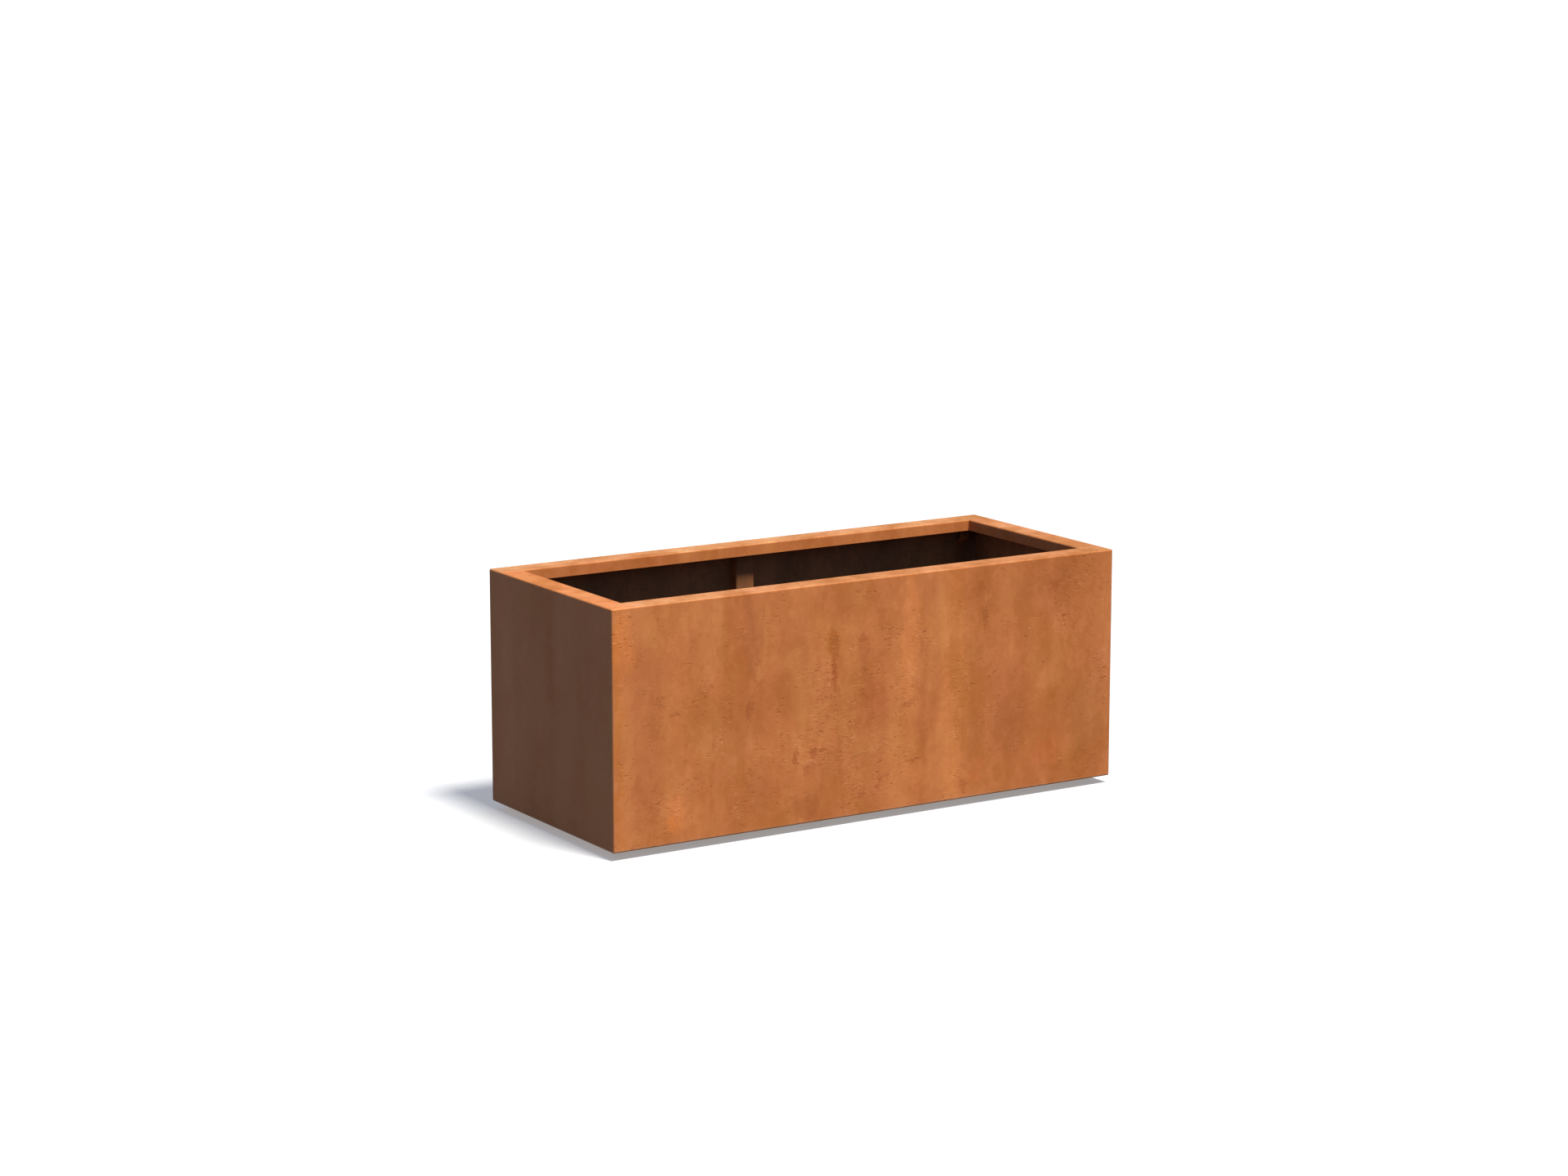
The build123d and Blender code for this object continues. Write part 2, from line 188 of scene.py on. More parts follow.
# Scars and flecks on the front wall: x, z, half width, half height, tint, lift (down is a dent, up a scab).
FRONT_MARKS = (
    (-182, 152, 7, 15, (0.80, 0.76, 0.72), -0.7),
    (-132, 160, 26, 5, (0.80, 0.76, 0.74), -1.0),
    (-150, 124, 12, 14, (0.88, 0.85, 0.86), -0.5),
    (-160, 143, 20, 3, (1.11, 1.14, 1.16), 0.5),
    (-95, 380, 15, 26, (0.89, 0.86, 0.72), -0.3),
    (-18, 376, 13, 10, (0.86, 0.81, 0.78), -0.5),
    (-90, 316, 6, 44, (0.86, 0.80, 0.72), -0.3),
    (-12, 148, 36, 3, (1.12, 1.15, 1.16), 0.6),
    (-46, 200, 6, 26, (1.09, 1.12, 1.12), 0.2),
    (-24, 56, 6, 5, (0.86, 0.80, 0.78), -0.7),
    (17, 74, 5, 13, (0.84, 0.79, 0.78), -0.7),
    (275, 392, 7, 24, (0.84, 0.82, 0.74), -0.5),
    (284, 432, 9, 9, (1.12, 1.14, 1.14), 0.4),
    (448, 436, 13, 14, (0.89, 0.85, 0.80), -0.3),
    (-455, 276, 14, 4, (0.84, 0.82, 0.80), -0.8),
    (-290, 262, 9, 24, (0.86, 0.84, 0.86), -0.3),
    (-266, 335, 6, 16, (1.10, 1.14, 1.12), 0.3),
    (98, 112, 16, 6, (0.88, 0.86, 0.84), -0.6),
    (70, 214, 20, 4, (1.11, 1.14, 1.14), 0.5),
    (94, 236, 16, 4, (0.87, 0.84, 0.84), -0.6),
    (225, 40, 8, 18, (0.88, 0.84, 0.82), -0.3),
    (-470, 60, 12, 16, (1.10, 1.02, 0.92), 0.2),
    (-95, 228, 12, 4, (1.10, 1.13, 1.12), 0.6),
    (86, 228, 15, 3, (0.85, 0.82, 0.80), -0.9),
    (474, 366, 5, 14, (0.88, 0.85, 0.83), -0.6),
    (-272, 367, 4, 17, (0.87, 0.84, 0.82), -0.7),
    (-493, 303, 8, 14, (0.88, 0.86, 0.85), -0.5),
    (-108, 266, 18, 3, (0.88, 0.84, 0.82), -0.7),
    (-60, 182, 12, 3, (0.88, 0.85, 0.83), -0.6),
)


def rust(name, stops, gain=(1, 1, 1), spec=0.5, contrast=1.0, streaks=1.0, pits=1.0, rough=(0.60, 0.84),
         front=False, seams=False, rims=False, bottom_darkening=0.0):
    """Rusted sheet: soft vertical bands, blotches, short streaks, clustered pits and a fine grain."""
    t = Tree(name)
    mul, sub = (lambda a, b: t.math("MULTIPLY", a, b)), (lambda a, b: t.math("SUBTRACT", a, b))
    fma = lambda a, b, c: t.math("MULTIPLY_ADD", a, b, c)
    x, y, z = t.xyz()
    wide = t.noise(t.scaled(1, 1, 0.10, (0.31, 0.2, 0.1)), 6.5, 2.0, 0.5)
    bands = t.noise(t.scaled(1, 1, 0.10, (1.31, 1.2, 0.6)), 17.0, 2.5, 0.55, 0.15)
    cloud = t.noise(t.scaled(1, 1, 0.72, (1.7, 0.4, 0.9)), 10.0, 5.0, 0.58, 0.5)
    runs = t.noise(t.scaled(1, 1, 0.20, (0.5, 2.1, 0.0)), 60.0, 3.0, 0.6, 0.2)
    spots = t.noise(t.scaled(1, 1, 0.85, (4.1, 0.4, 2.2)), 44.0, 4.0, 0.62, 0.9)
    grain = t.noise(t.coord, 560.0, 2.0, 0.6)
    where = t.map(t.noise(t.scaled(1, 1, 0.8, (2.7, 3.3, 0.2)), 5.2, 2.0, 0.5), 0.46, 0.60)
    pit_n = t.noise(t.scaled(1, 1, 2.3, (0.9, 1.9, 3.3)), 66.0, 3.5, 0.62, 0.5)
    pit = mul(t.map(pit_n, 0.62, 0.72), where)
    fleck = mul(t.map(pit_n, 0.34, 0.26), where)
    f = fma(sub(wide, 0.5), 0.66 * streaks * contrast, 0.5)
    f = fma(sub(bands, 0.5), 0.40 * streaks * contrast, f)
    f = fma(sub(cloud, 0.5), 0.64 * contrast, f)
    f = fma(mul(sub(runs, 0.5), t.map(cloud, 0.35, 0.65, 0.2, 1.0)), 0.22 * streaks * contrast, f)
    f = fma(sub(spots, 0.5), (0.38 if front else 0.50) * contrast, f)
    f = fma(sub(grain, 0.5), 0.20 * contrast, f)
    f = fma(pit, -0.26 * pits, f)
    f = fma(fleck, 0.20 * pits, f)
    if seams:
        # the two ends are more even than the long walls
        end = t.map(t.math("ABSOLUTE", x), 0.5975, 0.5985)
        f = fma(sub(f, 0.5), fma(end, -0.65, 1.0), 0.5)
    color = t.ramp(f, stops)
    # slow drifts of hue: greener, redder and greyer rust
    hue = t.noise(t.scaled(1, 1, 0.60, (7.0, 1.0, 5.0)), 14.0, 3.0, 0.55, 0.6, out="Color")
    hr, hg, hb = t.xyz(hue)
    comb = t.add("ShaderNodeCombineXYZ")
    t.put(comb.inputs[0], fma(sub(hr, 0.5), 0.08 * contrast, 1.0 * gain[0]))
    t.put(comb.inputs[1], fma(sub(hg, 0.5), 0.16 * contrast, 1.0 * gain[1]))
    t.put(comb.inputs[2], fma(sub(hb, 0.5), 0.24 * contrast, 1.0 * gain[2]))
    color = t.mix(1.0, color, comb.outputs[0], "MULTIPLY")
    if front:
        # painted shade: the end walls are tinted darker and bluer, the colour of the shaded end wall put into the rust
        dull = fma(sub(cloud, 0.5), 0.5, 0.92)
        color = t.mix(mul(end, dull), color, t.mix(1.0, color, (0.82, 0.85, 0.95), "MULTIPLY"))
        warp = t.vmath("SUBTRACT", t.noise(t.scaled(1, 1, 0.7), 26.0, 3.0, 0.6, out="Color"), (0.5, 0.5, 0.5))
        warp = t.vmath("MULTIPLY", warp, (0.060, 0.0, 0.13))
        at = t.vmath("ADD", t.coord, warp)
        on_front = t.map(y, -0.2482, -0.2472, 1.0, 0.0)
        plain = color
        for sx, sz, rx, rz, tint in FRONT_STAINS:
            m = t.add("ShaderNodeMapping")
            t.put(m.inputs["Vector"], at)
            m.inputs["Scale"].default_value = (1 / (rx * MM), 0.0, 1 / (rz * MM))
            m.inputs["Location"].default_value = (-sx / rx, 0.0, -sz / rz)
            color = t.mix(t.map(t.vmath("LENGTH", m.outputs[0]), 1.25, 0.35), color, tint, "MULTIPLY")
        color = t.mix(on_front, plain, color)
    height = fma(pit, -0.85 * pits, mul(grain, 0.30))
    height = fma(fleck, 0.40 * pits, height)
    if front:
        jag = t.vmath("SUBTRACT", t.noise(t.coord, 95.0, 4.0, 0.70, out="Color"), (0.5, 0.5, 0.5))
        jag = t.vmath("MULTIPLY", jag, (0.050, 0.0, 0.046))
        torn = mul(t.map(t.noise(t.coord, 230.0, 3.0, 0.65), 0.36, 0.56, 0.35, 1.0), on_front)
        at = t.vmath("ADD", t.coord, jag)
        field = t.noise(t.scaled(1, 1, 0.8, (3.3, 0.7, 1.9)), 17.0, 3.0, 0.6)
        m = t.add("ShaderNodeMapping")
        t.put(m.inputs["Vector"], t.coord)
        m.inputs["Scale"].default_value = (1 / 0.185, 0.0, 1 / 0.250)
        m.inputs["Location"].default_value = (0.020 / 0.185, 0.0, -0.200 / 0.250)
        field = t.math("ADD", mul(t.map(t.vmath("LENGTH", m.outputs[0]), 1.2, 0.2), 0.16), field)
        field = mul(t.map(field, 0.52, 0.64), on_front)
        dash_n = t.noise(t.scaled(1, 1, 1.9, (6.1, 2.9, 1.3)), 92.0, 3.5, 0.62, 0.5)
        dash = mul(t.map(dash_n, 0.58, 0.66), field)
        spark = mul(t.map(dash_n, 0.42, 0.35), field)
        color = t.mix(dash, color, (0.82, 0.72, 0.52), "MULTIPLY")
        color = t.mix(spark, color, (1.12, 1.22, 1.48), "MULTIPLY")
        height = fma(dash, -1.0, fma(spark, 0.8, height))
        for sx, sz, rx, rz, tint, lift in FRONT_MARKS:
            m = t.add("ShaderNodeMapping")
            t.put(m.inputs["Vector"], at)
            m.inputs["Scale"].default_value = (1 / (rx * MM), 0.0, 1 / (rz * MM))
            m.inputs["Location"].default_value = (-sx / rx, 0.0, -sz / rz)
            mask = mul(t.map(t.vmath("LENGTH", m.outputs[0]), 1.2, 0.75), torn)
            deep = (tint[0] ** 1.2, tint[1] ** 1.8, tint[2] ** 2.9)
            color = t.mix(mask, color, deep, "MULTIPLY")
            height = fma(mask, 1.2 * lift, height)
    height = fma(spots, 0.22, height)
    if seams:
        # dressed weld bands at the mitres; down the vertical corners the bands are partly dressed weld and partly a
        # painted highlight, paler and greyer like a lit rounded edge
        ax, ay = t.math("ABSOLUTE", x), t.math("ABSOLUTE", y)
        px, py = sub(L / 2 * MM, ax), sub(W / 2 * MM, ay)
        wob = t.noise(t.coord, 60.0, 2.0, 0.5)
        diag = t.math("ABSOLUTE", sub(px, py))
        top = t.map(z, 0.4945, 0.4975)
        band = mul(t.map(fma(sub(wob, 0.5), 0.006, diag), 0.0035, 0.0085, 1.0, 0.0), top)
        side = t.map(fma(sub(wob, 0.5), 0.010, t.math("MAXIMUM", px, py)), 0.003, 0.008, 1.0, 0.0)
        side = mul(side, sub(1.0, top))
        color = t.mix(mul(band, 0.55), color, t.mix(1.0, color, (0.93, 1.00, 0.96), "MULTIPLY"))
        # painted highlight in part: the corner bands are paler and bluer, as the lit rounded edge looks, besides the
        # dressed weld
        color = t.mix(mul(side, 0.8), color, t.mix(1.0, color, (1.00, 1.05, 1.22), "MULTIPLY"))
        brush = t.noise(t.scaled(1, 1, 9.0), 130.0, 2.0, 0.6)
        height = fma(mul(t.math("MAXIMUM", band, side), sub(brush, 0.5)), 0.8, height)
        # painted light: the bottom fold, which turns down into shade, is painted paler and bluer
        low = t.map(fma(sub(spots, 0.5), 0.008, z), 0.019, 0.025, 1.0, 0.0)
        color = t.mix(mul(low, 0.8), color, t.mix(1.0, color, (1.00, 1.12, 1.60), "MULTIPLY"))
    if rims:
        # the back rim has weathered paler, the left one redder
        pale = t.map(fma(sub(cloud, 0.5), 0.10, y), 0.190, 0.215)
        red = t.map(fma(sub(cloud, 0.5), 0.10, x), -0.530, -0.560)
        color = t.mix(pale, color, t.mix(1.0, color, (1.04, 1.16, 1.32), "MULTIPLY"))
        color = t.mix(mul(red, sub(1.0, pale)), color, t.mix(1.0, color, (1.10, 1.00, 0.84), "MULTIPLY"))
    if bottom_darkening:
        # darker towards the bottom of the inner walls
        line = t.map(fma(sub(cloud, 0.5), 0.12, z), 0.07, 0.20, 1.0, 0.0)
        color = t.mix(mul(line, bottom_darkening), color, t.mix(1.0, color, (0.72, 0.70, 0.72), "MULTIPLY"))
    normal = t.bump(height, 0.0004, 0.85)
    r = t.map(f, 0.25, 0.75, rough[1], rough[0], smooth=False)
    return t.finish(color, r, normal, 0.0, spec)


OUT_STOPS = [
    (0.22, (0.381, 0.103, 0.0125)),
    (0.40, (0.455, 0.136, 0.0275)),
    (0.50, (0.509, 0.160, 0.0400)),
    (0.62, (0.561, 0.189, 0.0505)),
    (0.82, (0.657, 0.244, 0.0790)),
]
IN_STOPS = [
    (0.20, (0.105, 0.049, 0.0282)),
    (0.45, (0.165, 0.076, 0.0410)),
    (0.62, (0.215, 0.099, 0.0512)),
    (0.85, (0.300, 0.134, 0.0640)),
]
OUTER = rust("corten_outer", OUT_STOPS, gain=(1.0, 1.01, 1.06), spec=0.5, front=True, seams=True, contrast=0.93)
RIM_TOP = rust("corten_rim", OUT_STOPS, gain=(0.80, 0.98, 1.28), spec=0.5, seams=True, rims=True, contrast=1.35, pits=1.3, rough=(0.52, 0.78))
INNER = rust("corten_inner", IN_STOPS, gain=(1.35, 1.30, 0.95), spec=0.4, pits=1.2, contrast=0.95, rough=(0.62, 0.86), bottom_darkening=0.7)
SECTION = rust("corten_sections", IN_STOPS, gain=(1.20, 1.02, 0.72), spec=0.4, pits=1.2, contrast=1.2, streaks=0.7,
               rough=(0.58, 0.84))


def floor_steel():
    """The floor plate: inner rust with tide rings and silt round the drain holes."""
    t = Tree("corten_floor")
    fma = lambda a, b, c: t.math("MULTIPLY_ADD", a, b, c)
    sub = lambda a, b: t.math("SUBTRACT", a, b)
    x, y, z = t.xyz()
    cloud = t.noise(t.coord, 8.0, 6.0, 0.58, 0.5)
    spots = t.noise(t.coord, 46.0, 4.0, 0.62, 0.6)
    grain = t.noise(t.coord, 520.0, 2.0, 0.6)
    f = fma(sub(cloud, 0.5), 0.9, 0.45)
    f = fma(sub(spots, 0.5), 0.5, f)
    f = fma(sub(grain, 0.5), 0.25, f)
    color = t.ramp(f, IN_STOPS)
    # the eight drain holes stand at x = 150 and 350 mm, y = 140 mm, mirrored
    ax = t.math("ABSOLUTE", sub(t.math("ABSOLUTE", x), 0.250))
    dx, dy = sub(ax, 0.100), sub(t.math("ABSOLUTE", y), 0.140)
    d = t.math("SQRT", fma(dx, dx, t.math("MULTIPLY", dy, dy)))
    d = fma(sub(t.noise(t.coord, 19.0, 4.0, 0.6, 0.5), 0.5), 0.11, d)
    silt = t.map(d, 0.016, 0.075, 1.0, 0.0)
    ring = t.math("MULTIPLY", t.map(d, 0.058, 0.068), t.map(d, 0.070, 0.084, 1.0, 0.0))
    color = t.mix(t.math("MULTIPLY", silt, 0.55), color, (0.095, 0.062, 0.040))
    color = t.mix(t.math("MULTIPLY", t.math("MULTIPLY", ring, t.map(spots, 0.40, 0.62)), 0.20), color, (0.300, 0.200, 0.130))
    normal = t.bump(fma(spots, 0.4, t.math("MULTIPLY", grain, 0.5)), 0.0005, 0.8)
    return t.finish(color, t.map(f, 0.2, 0.8, 0.86, 0.66, smooth=False), normal, 0.0, 0.35)


def weld_metal():
    """Weld beads: rusted over, darker and bluer where the heat was, bright only on the ripples."""
    t = Tree("rusted_weld")
    heat = t.noise(t.coord, 34.0, 3.0, 0.6, 0.4)
    fine = t.noise(t.coord, 900.0, 3.0, 0.6)
    color = t.ramp(heat, [
        (0.25, (0.060, 0.040, 0.038)),
        (0.45, (0.130, 0.058, 0.032)),
        (0.62, (0.210, 0.088, 0.038)),
        (0.80, (0.270, 0.125, 0.060)),
    ])
    spec = t.map(t.noise(t.coord, 420.0, 2.0, 0.5), 0.60, 0.72)
    color = t.mix(t.math("MULTIPLY", spec, 0.6), color, (0.035, 0.030, 0.030))
    normal = t.bump(fine, 0.00025, 0.8)
    return t.finish(color, t.map(heat, 0.3, 0.7, 0.74, 0.48, smooth=False), normal, 0.0, 0.5)


def stainless():
    """Stainless screws: turned and rolled marks, a little tea staining, finger-dull patches."""
    t = Tree("stainless_satin")
    smear = t.noise(t.coord, 120.0, 3.0, 0.55, 0.3)
    lines = t.noise(t.scaled(1, 1, 16.0), 260.0, 2.0, 0.6)
    tea = t.map(t.noise(t.coord, 75.0, 4.0, 0.6, 0.6), 0.56, 0.72)
    color = t.mix(lines, (0.50, 0.50, 0.49), (0.62, 0.61, 0.59))
    color = t.mix(t.math("MULTIPLY", tea, 0.55), color, (0.36, 0.25, 0.16))
    rough = t.math("MULTIPLY_ADD", tea, 0.20, t.map(smear, 0.3, 0.7, 0.24, 0.42, smooth=False))
    normal = t.bump(lines, 0.00006, 0.6)
    return t.finish(color, rough, normal, 1.0, 0.5)


def polyamide():
    """Black moulded polyamide: spark-eroded grain, greyed and dusty on its upward faces."""
    t = Tree("black_polyamide")
    cell = t.voronoi(t.coord, 1500.0)
    fine = t.noise(t.coord, 1100.0, 2.0, 0.6)
    dust = t.noise(t.coord, 95.0, 4.0, 0.6, 0.3)
    x, y, z = t.xyz()
    up = t.map(t.math("MULTIPLY_ADD", t.math("SUBTRACT", dust, 0.5), 0.006, z), 0.0035, 0.0085)
    color = t.mix(dust, (0.020, 0.020, 0.022), (0.042, 0.041, 0.041))
    color = t.mix(t.math("MULTIPLY", t.math("MULTIPLY", up, t.map(dust, 0.4, 0.7)), 0.55), color, (0.130, 0.098, 0.072))
    normal = t.bump(t.math("MULTIPLY_ADD", fine, 0.5, cell), 0.00012, 0.7)
    rough = t.math("MULTIPLY_ADD", up, 0.18, t.map(dust, 0.3, 0.7, 0.46, 0.62, smooth=False))
    return t.finish(color, rough, normal, 0.0, 0.5)


FLOOR, WELD, STEEL, PLASTIC = floor_steel(), weld_metal(), stainless(), polyamide()


# ================================================================ mesh helpers
def arc(cx, cz, r, a0, a1, n):
    """Points of an arc, both ends included, angles in degrees."""
    return [
        (cx + r * math.cos(math.radians(a0 + (a1 - a0) * i / n)), cz + r * math.sin(math.radians(a0 + (a1 - a0) * i / n)))
        for i in range(n + 1)
    ]


def line(p, q, n):
    """Points after p up to and including q."""
    return [(p[0] + (q[0] - p[0]) * i / n, p[1] + (q[1] - p[1]) * i / n) for i in range(1, n + 1)]


def object_from(bm, name, mats, smooth_angle=38.0, weighted=True, merge=2e-6):
    bmesh.ops.remove_doubles(bm, verts=bm.verts, dist=merge)
    bmesh.ops.dissolve_degenerate(bm, edges=bm.edges, dist=1e-6)
    bmesh.ops.recalc_face_normals(bm, faces=bm.faces)
    me = bpy.data.meshes.new(name)
    bm.to_mesh(me)
    bm.free()
    for m in mats:
        me.materials.append(m)
    me.shade_smooth()
    me.set_sharp_from_angle(angle=math.radians(smooth_angle))
    ob = bpy.data.objects.new(name, me)
    bpy.context.scene.collection.objects.link(ob)
    if weighted:
        wn = ob.modifiers.new("normals", "WEIGHTED_NORMAL")
        wn.keep_sharp = True
    return ob


def hand_in(ob, body, slot, *nodes):
    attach(ob, body)
    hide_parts(*nodes)
    return ob


def grid_solid(bm, rings, place, closed_ring=True, cap=True):
    """Skins rings of points into bm and fans a cap on each end. place turns a local point into the row frame, in mm."""
    verts = [[bm.verts.new([c * MM for c in place(*p)]) for p in r] for r in rings]
    n = len(rings[0])
    for a, b in zip(verts, verts[1:]):
        for i in range(n if closed_ring else n - 1):
            j = (i + 1) % n
            bm.faces.new((a[i], a[j], b[j], b[i]))
    if cap:
        for ring_v, ring_p in ((verts[0], rings[0]), (verts[-1], rings[-1])):
            c = [sum(p[k] for p in ring_p) / n for k in range(3)]
            mid = bm.verts.new([v * MM for v in place(*c)])
            for i in range(n):
                bm.faces.new((ring_v[i], ring_v[(i + 1) % n], mid))
    return verts


# ================================================================ folded wall panels
def section():
    """The folded section as a closed loop: (u, z, zone). zone is the strip that ends there."""
    pts = []

    def go(points, zone):
        pts.extend((u, z, zone) for u, z in points)

    top, bot = H - R_OUT, Z0 + R_OUT
    pts.append((RETURN - 0.3, Z0, 0))
    go(line((RETURN - 0.3, Z0), (R_OUT, Z0), 3), 0)
    go(arc(R_OUT, bot, R_OUT, 270, 180, 8)[1:], 0)
    go(line((0, bot), (0, top), 32), 0)
    bend = arc(R_OUT, top, R_OUT, 180, 90, 8)[1:]
    go(bend[:3], 0)
    go(bend[3:], 1)
    go(line((R_OUT, H), (RIM - R_OUT, H), 6), 1)
    bend = arc(RIM - R_OUT, top, R_OUT, 90, 0, 8)[1:]
    go(bend[:5], 1)
    go(bend[5:], 0)
    go(line((RIM, top), (RIM, H - LIP + 0.3), 4), 0)
    go([(RIM - 0.3, H - LIP), (RIM - SHEET + 0.3, H - LIP)], 0)
    go([(RIM - SHEET, H - LIP + 0.3)], 2)
    go(line((RIM - SHEET, H - LIP + 0.3), (RIM - SHEET, top), 4), 2)
    go(arc(RIM - R_OUT, top, R_IN, 0, 90, 6)[1:], 2)
    go(line((RIM - R_OUT, H - SHEET), (R_OUT, H - SHEET), 6), 2)
    go(arc(R_OUT, top, R_IN, 90, 180, 6)[1:], 2)
    go(line((SHEET, top), (SHEET, bot), 32), 2)
    go(arc(R_OUT, bot, R_IN, 180, 270, 6)[1:], 2)
    go(line((R_OUT, Z0 + SHEET), (RETURN - 0.3, Z0 + SHEET), 3), 2)
    go([(RETURN, Z0 + SHEET - 0.3), (RETURN, Z0 + 0.3)], 0)
    return pts


def sag(x, z, half, seed):
    """How far the sheet sits in from flat, in mm: 0 along its folds, under 1 mm in the field."""
    ex = max(0.0, min(1.0, (half - abs(x)) / 120.0))
    ez = max(0.0, min(1.0, (z - Z0 - 10) / 90.0)) * max(0.0, min(1.0, (H - 10 - z) / 90.0))
    n = noise.noise(Vector((x / 260.0 + seed, z / 230.0, seed * 1.7)))
    return (0.40 + 0.40 * n) * ex * ex * (3 - 2 * ex) * ez * ez * (3 - 2 * ez)


def panel(name, node, half, depth, place, seed):
    """One folded wall, half long, its outside face at depth. place maps (along, out, z) to the row frame."""
    sec = section()
    n = len(sec)
    thetas = [45, 36, 27, 18, 9]

    def corner_ring(side, k, theta):
        out = []
        for u, z, _ in sec:
            if u < CORNER:
                a = math.radians(theta)
                # a hairline valley where the two dressed ends meet
                r = CORNER - u - (0.12 if k == 0 and u < 1.0 else 0.0)
                s, v = CORNER - r * math.sin(a), CORNER - r * math.cos(a)
            else:
                s, v = u + (0.0 if k == 0 else 0.7), u
            dz = -0.12 if k == 0 and z > H - 0.5 else 0.0
            out.append((side * (half - s), v, z + dz))
        return out

    rings = [corner_ring(-1, k, th) for k, th in enumerate(thetas)]
    for t in np.linspace(-1, 1, int(half / 10) + 1):
        out = []
        for u, z, _ in sec:
            e = CORNER if u < CORNER else u + 1.4
            x = t * (half - e)
            v = u + (sag(x, z, half, seed) if u <= SHEET + 1e-6 else 0.0)
            out.append((x, v, z))
        rings.append(out)
    rings += [corner_ring(1, k, th) for k, th in reversed(list(enumerate(thetas)))]
    bm = bmesh.new()
    grid = [[bm.verts.new([c * MM for c in place(x, depth - v, z)]) for x, v, z in r] for r in rings]
    for a, b in zip(grid, grid[1:]):
        for i in range(n):
            j = (i + 1) % n
            f = bm.faces.new((a[i], b[i], b[j], a[j]))
            f.material_index = sec[j][2]
    for g in (grid[0], grid[-1]):
        bm.faces.new(g).material_index = 0
    bmesh.ops.triangulate(bm, faces=[f for f in bm.faces if len(f.verts) > 4])
    ob = object_from(bm, name, [OUTER, RIM_TOP, INNER])
    return hand_in(ob, "planter", "weathering_steel", node)


panel("front_wall", "front_panel", L / 2, W / 2, lambda a, o, z: (a, -o, z), 1.3)
panel("back_wall", "back_panel", L / 2, W / 2, lambda a, o, z: (-a, o, z), 4.9)
panel("left_end_wall", "left_end_panel", W / 2, L / 2, lambda a, o, z: (-o, -a, z), 8.2)
panel("right_end_wall", "right_end_panel", W / 2, L / 2, lambda a, o, z: (o, a, z), 12.6)


# ================================================================ screws, nuts and washers
SEGS = 72


def hex_r(theta, af):
    """Distance from the axis to the flats of a hexagon, in the direction theta (degrees)."""
    return af / 2 / math.cos(math.radians((theta % 60.0) - 30.0))


def thread_r(theta, z, r, pitch, depth):
    """Radius of a right-hand 60 degree thread with flat crest and root."""
    p = (z / pitch - theta / 360.0) % 1.0
    tri = abs(2.0 * p - 1.0)
    return r - depth * max(0.0, min(1.0, (tri - 0.12) / 0.70))


def ring_at(z, radius):
    """A ring of SEGS points; radius is a number or a function of the angle in degrees."""
    out = []
    for i in range(SEGS):
        th = i * 360.0 / SEGS
        r = radius(th) if callable(radius) else radius
        out.append((r * math.cos(math.radians(th)), r * math.sin(math.radians(th)), z))
    return out


def hex_rings(af, z0, z1, low, high):
    """Rings up a hexagon whose corners are turned down at 30 degrees, by low and high mm, at its two ends."""
    tan = math.tan(math.radians(30))
    inner = af / 2 * 0.93

    def lift(th, amount, k):
        r = inner + (hex_r(th, af) - inner) * k
        return max(0.0, r - af / 2 * 0.985) * tan if amount else 0.0

    rings = []
    for k in (0.0, 0.5, 1.0):
        rings.append([(c[0], c[1], z0 + lift(i * 360 / SEGS, low, k)) for i, c in enumerate(
            ring_at(z0, lambda th: inner + (hex_r(th, af) - inner) * k))])
    for k in (1.0, 0.5, 0.0):
        rings.append([(c[0], c[1], z1 - lift(i * 360 / SEGS, high, k)) for i, c in enumerate(
            ring_at(z1, lambda th: inner + (hex_r(th, af) - inner) * k))])
    return rings


def screw_rings(r, pitch, depth, z_from, z_to, tip, steps=9):
    """Threaded shank from z_from to z_to, cut with a chamfer of tip mm at z_to and run out at z_from."""
    n = max(8, int(abs(z_to - z_from) / pitch * steps))
    rings = []
    for i in range(n + 1):
        z = z_from + (z_to - z_from) * i / n
        near_tip = abs(z_to - z)
        cut = r - tip + near_tip if near_tip < tip else r
        ease = min(1.0, i / (steps * 0.8))
        rings.append(ring_at(z, lambda th: min(cut, thread_r(th, z, r, pitch, depth * ease))))
    return rings


def hex_bolt(bm, place):
    """M8 x 16 set screw: washer face, hexagon head with turned-down corners and a dished top, threaded shank."""
    rings = [ring_at(0.0, 5.4)]
    rings += [ring_at(0.0, 6.05), ring_at(0.25, 6.1)]
    rings += hex_rings(13.0, 0.26, 5.3, 0, 1)
    rings += [ring_at(5.3, 5.2), ring_at(5.05, 4.6), ring_at(5.0, 2.0)]
    head = [ring_at(0.0, 4.0)] + rings
    shank = screw_rings(4.0, 1.25, 0.62, 0.0, -16.0, 0.8)
    grid_solid(bm, list(reversed(shank)) + head, place)


def weld_nut(bm, place, af, height, bore, pitch, depth, low, high):
    """Hexagon nut with a threaded bore."""
    outer = hex_rings(af, 0.0, height, low, high)
    n = max(6, int(height / pitch * 9))
    inner = []
    for i in range(n + 1):
        z = height - height * i / n
        ease = min(1.0, i / 6.0, (n - i) / 6.0)
        mouth = max(0.0, 0.55 - min(z, height - z))
        inner.append(ring_at(z, lambda th: max(bore + mouth, bore + depth * ease - (bore + depth * ease - thread_r(th, z, bore + depth * ease, pitch, depth * ease)))))
    rings = outer + [ring_at(height, bore + 0.75)] + inner + [ring_at(0.0, bore + 0.75)]
    verts = grid_solid(bm, rings, place, cap=False)
    a, b = verts[-1], verts[0]
    for i in range(SEGS):
        j = (i + 1) % SEGS
        bm.faces.new((a[i], a[j], b[j], b[i]))


